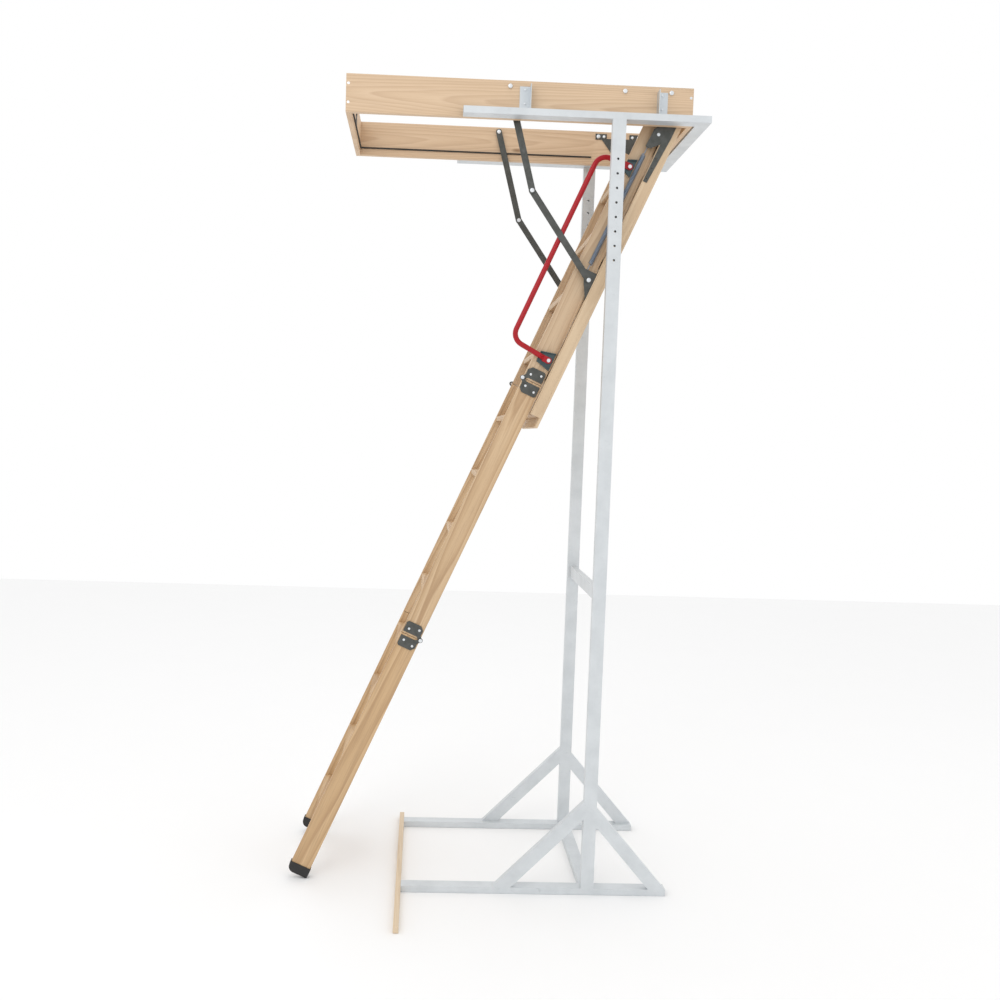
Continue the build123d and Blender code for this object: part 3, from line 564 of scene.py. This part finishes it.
def discMesh(name, centre, axis, radius, height, sides):
    # a disc with a softened rim, closed, standing out along its axis
    work = bmesh.new()
    turned = Vector((0, 0, 1)).rotation_difference(Vector(axis)).to_matrix().to_4x4()
    rings = [ringOf(work, sides, level * height, lambda k: share * radius) for share, level in discRim]
    closeRings(work, rings)
    bmesh.ops.transform(work, matrix=Matrix.Translation(centre) @ turned, verts=work.verts)
    return meshFrom(work, name)


def addPlain(name, mesh, finish, body):
    mesh.materials.append(finish)
    piece = meshObject(name, mesh)
    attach(piece, body)


hinge = next(joint for joint in frame["joints"] if joint["name"] == "hatch_hinge")["pos_m"]
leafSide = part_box("hinge_leaves")[1][1]
c = capSettings
for sideName, side in (("near", -1), ("far", 1)):
    place = (hinge[0] + c["offset"][0], side * (leafSide - c["sunk"]), hinge[2] + c["offset"][1])
    disc = discMesh("leafCap", place, (0, side, 0), c["radius"], c["height"], c["sides"])
    addPlain("leaf_cap_" + sideName, disc, finishes["zinc"], "hatch")
low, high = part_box("box_end_front")
c = lockSettings
disc = discMesh("lockFace", (high[0] - c["sunk"], 0, high[2] - c["drop"]), (1, 0, 0),
                c["radius"], c["height"], c["sides"])
addPlain("lock_face", disc, finishes["black_rubber"], "stand_and_box")
print("caps and lock added")


springSettings = {
    "coilRadius": 0.0071, "wireRadius": 0.0018, "pitch": 0.0050, "hook": 0.038,
    "eyeRadius": 0.0054, "wireSides": 8, "stepsPerTurn": 18,
    "bend": ((1.0, 0.0), (0.55, 0.0035)),    # share of the coil radius, and metres from the coil
    "neck": (0.0006, 0.0055),                # metres off the axis, and from the coil
    "straight": (0.008, 0.002, 6),           # gaps to the coil and to the eye, and its points
    "eye": (10, 330, 22),                    # degrees where the eye starts, its reach, and its steps
    "weld": 1e-7,
}


def coilTree():
    tree = bpy.data.node_groups.new("spring_coil", "GeometryNodeTree")
    face = tree.interface
    face.new_socket("Geometry", in_out="INPUT", socket_type="NodeSocketGeometry")
    kinds = {"Turns": "NodeSocketFloat", "Length": "NodeSocketFloat", "Coil radius": "NodeSocketFloat",
             "Wire radius": "NodeSocketFloat", "Steps": "NodeSocketInt", "Wire sides": "NodeSocketInt",
             "Finish": "NodeSocketMaterial"}
    sockets = {label: face.new_socket(label, in_out="INPUT", socket_type=kind).identifier
               for label, kind in kinds.items()}
    face.new_socket("Geometry", in_out="OUTPUT", socket_type="NodeSocketGeometry")
    start, end = tree.nodes.new("NodeGroupInput"), tree.nodes.new("NodeGroupOutput")
    spiral = tree.nodes.new("GeometryNodeCurveSpiral")
    circle = tree.nodes.new("GeometryNodeCurvePrimitiveCircle")
    sweep = tree.nodes.new("GeometryNodeCurveToMesh")
    hookWire = tree.nodes.new("GeometryNodeMeshToCurve")
    hookSweep = tree.nodes.new("GeometryNodeCurveToMesh")
    joined = tree.nodes.new("GeometryNodeJoinGeometry")
    smooth = tree.nodes.new("GeometryNodeSetShadeSmooth")
    realize = tree.nodes.new("GeometryNodeRealizeInstances")
    paint = tree.nodes.new("GeometryNodeSetMaterial")
    for node in (sweep, hookSweep):
        node.inputs["Fill Caps"].default_value = True
    links = (
        (start.outputs["Turns"], spiral.inputs["Rotations"]),
        (start.outputs["Length"], spiral.inputs["Height"]),
        (start.outputs["Coil radius"], spiral.inputs["Start Radius"]),
        (start.outputs["Coil radius"], spiral.inputs["End Radius"]),
        (start.outputs["Steps"], spiral.inputs["Resolution"]),
        (start.outputs["Wire radius"], circle.inputs["Radius"]),
        (start.outputs["Wire sides"], circle.inputs["Resolution"]),
        (spiral.outputs[0], sweep.inputs["Curve"]), (circle.outputs[0], sweep.inputs["Profile Curve"]),
        (start.outputs["Geometry"], hookWire.inputs["Mesh"]),
        (hookWire.outputs[0], hookSweep.inputs["Curve"]),
        (circle.outputs[0], hookSweep.inputs["Profile Curve"]),
        (sweep.outputs[0], joined.inputs[0]), (hookSweep.outputs[0], joined.inputs[0]),
        (joined.outputs[0], smooth.inputs[0]), (smooth.outputs[0], realize.inputs[0]),
        (realize.outputs[0], paint.inputs["Geometry"]),
        (start.outputs["Finish"], paint.inputs["Material"]), (paint.outputs[0], end.inputs[0]),
    )
    for source, target in links:
        tree.links.new(source, target)
    return tree, sockets


def hookLine(length, s):
    # from the coil's side in to the axis, straight out, and round the eye
    line = [(s["coilRadius"] * share, 0, s["hook"] - drop) for share, drop in s["bend"]]
    neckOut, neckDrop = s["neck"]
    line.append((neckOut, 0, s["hook"] - neckDrop))
    coilGap, eyeGap, count = s["straight"]
    line += [(0, 0, z) for z in np.linspace(s["hook"] - coilGap, s["eyeRadius"] + eyeGap, count)]
    eyeStart, eyeSpan, steps = s["eye"]
    angles = [math.radians(eyeStart + eyeSpan * k / steps) for k in range(steps + 1)]
    line += [(0, s["eyeRadius"] * math.sin(a), s["eyeRadius"] * math.cos(a)) for a in angles]
    flipped = [(-x, y, length - z) for x, y, z in line]
    return line, flipped


def addSpring(nodeName):
    s = springSettings
    points = np.array([vert.co for vert in nodes[nodeName].data.vertices])
    middle = (points.min(0) + points.max(0)) / 2
    direction = np.linalg.svd(points - points.mean(0), full_matrices=False)[2][0]
    if direction[2] > 0:
        direction = -direction
    reach = (points - middle) @ direction
    length = reach.max() - reach.min() - 2 * (s["eyeRadius"] + s["wireRadius"])
    wires = bpy.data.meshes.new("hooks")
    verts, edges = [], []
    for line in hookLine(length, s):
        edges += [(len(verts) + k, len(verts) + k + 1) for k in range(len(line) - 1)]
        verts += line
    wires.from_pydata(verts, edges, [])
    holder = meshObject("holder", wires)
    tree, sockets = coilTree()
    modifier = holder.modifiers.new("coil", "NODES")
    modifier.node_group = tree
    coil = length - 2 * s["hook"]
    for label, value in (("Turns", coil / s["pitch"]), ("Length", coil), ("Coil radius", s["coilRadius"]),
                         ("Wire radius", s["wireRadius"]), ("Steps", s["stepsPerTurn"]),
                         ("Wire sides", s["wireSides"]), ("Finish", finishes["spring_steel"])):
        modifier[sockets[label]] = value
    piece = plainMesh(holder, nodeName + "_coil")
    # the spiral is made from the origin up, so it moves along to where the first hook ends
    shifted = np.array([vert.co for vert in piece.data.vertices])
    coilPart = islandMask(piece.data)
    shifted[coilPart, 2] += s["hook"]
    piece.data.vertices.foreach_set("co", shifted.ravel())
    lengthwise = Vector(direction)
    across = Vector((0, 1, 0))
    turned = Matrix((across.cross(lengthwise), across, lengthwise)).transposed().to_4x4()
    piece.data.transform(Matrix.Translation(Vector(middle - direction * length / 2)) @ turned)
    work = bmesh.new()
    work.from_mesh(piece.data)
    bmesh.ops.remove_doubles(work, verts=work.verts, dist=s["weld"])
    bmesh.ops.recalc_face_normals(work, faces=work.faces)
    work.to_mesh(piece.data)
    work.free()
    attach(piece, bodyOf(nodeName))
    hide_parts(nodeName)
    print(nodeName, "coil of", len(piece.data.polygons), "faces")


def islandMask(mesh):
    # true on the largest joined part, which is the coil
    parent = list(range(len(mesh.vertices)))

    def rootOf(k):
        while parent[k] != k:
            parent[k] = parent[parent[k]]
            k = parent[k]
        return k

    for edge in mesh.edges:
        a, b = rootOf(edge.vertices[0]), rootOf(edge.vertices[1])
        if a != b:
            parent[a] = b
    roots = np.array([rootOf(k) for k in range(len(parent))])
    names, counts = np.unique(roots, return_counts=True)
    return roots == names[counts.argmax()]


for springName in ("spring_near", "spring_far"):
    addSpring(springName)


floorSettings = {"size": 14.0, "colour": (0.93, 0.93, 0.93), "worn": (0.9, 0.9, 0.9), "below": 0.0008}
floorMesh = bpy.data.meshes.new("floor")
half = floorSettings["size"] / 2
corners = [(-half, -half, 0), (half, -half, 0), (half, half, 0), (-half, half, 0)]
floorMesh.from_pydata(corners, [], [(0, 1, 2, 3)])
floorMesh.transform(Matrix.Translation((0, 0, -floorSettings["below"])))
floor = meshObject("floor", floorMesh)
floorFinish, floorTree, floorShader = newFinish("floor_paint", 0.9)
floorTone = noise(floorTree, placed(floorTree), 3.0, 3.0)
floorColour = mixColour(floorTree, "MIX", spread(floorTree, floorTone, 0.0, 0.3),
                        floorSettings["colour"], floorSettings["worn"])
floorTree.links.new(floorColour, floorShader.inputs["Base Color"])
floorMesh.materials.append(floorFinish)

world = bpy.data.worlds.new("studio")
world.use_nodes = True
world.node_tree.nodes["Background"].inputs["Color"].default_value = (1, 1, 1, 1)
world.node_tree.nodes["Background"].inputs["Strength"].default_value = 1.0
scene.world = world
scene.view_settings.view_transform = "Standard"

# name, place, aim, size in metres, power in watts
lightSettings = [
    ("key", (-2.6, -4.2, 4.6), (-0.2, 0, 1.6), 3.0, 38),
    ("fill", (3.4, -3.2, 2.4), (-0.2, 0, 1.4), 3.0, 6),
    ("top", (-0.3, 0.6, 5.2), (-0.4, 0, 2.0), 2.5, 14),
]
for name, place, aim, size, power in lightSettings:
    light = bpy.data.lights.new(name, "AREA")
    light.size, light.energy = size, power
    lamp = bpy.data.objects.new(name, light)
    lamp.location = place
    lamp.rotation_euler = (Vector(aim) - Vector(place)).to_track_quat("-Z", "Y").to_euler()
    scene.collection.objects.link(lamp)

cameraSettings = {"place": (-0.686, -4.004, 1.770), "yaw": 2.018, "pitch": -4.094, "roll": 1.844,
                  "lens": 35.19, "sensor": 36.0, "shift": (0.0439, 0.0044)}


def addCamera(s):
    yaw, pitch, roll = (math.radians(s[key]) for key in ("yaw", "pitch", "roll"))
    ahead = Vector((math.sin(yaw) * math.cos(pitch), math.cos(yaw) * math.cos(pitch), math.sin(pitch)))
    right = Vector((math.cos(yaw), -math.sin(yaw), 0))
    up = right.cross(ahead)
    cameraRight = right * math.cos(roll) + up * math.sin(roll)
    cameraUp = up * math.cos(roll) - right * math.sin(roll)
    data = bpy.data.cameras.new("camera")
    data.lens, data.sensor_width = s["lens"], s["sensor"]
    data.shift_x, data.shift_y = s["shift"]
    camera = bpy.data.objects.new("camera", data)
    turned = Matrix((cameraRight, cameraUp, -ahead)).transposed().to_4x4()
    camera.matrix_world = Matrix.Translation(s["place"]) @ turned
    scene.collection.objects.link(camera)
    scene.camera = camera


addCamera(cameraSettings)
print("floor, light and camera placed")
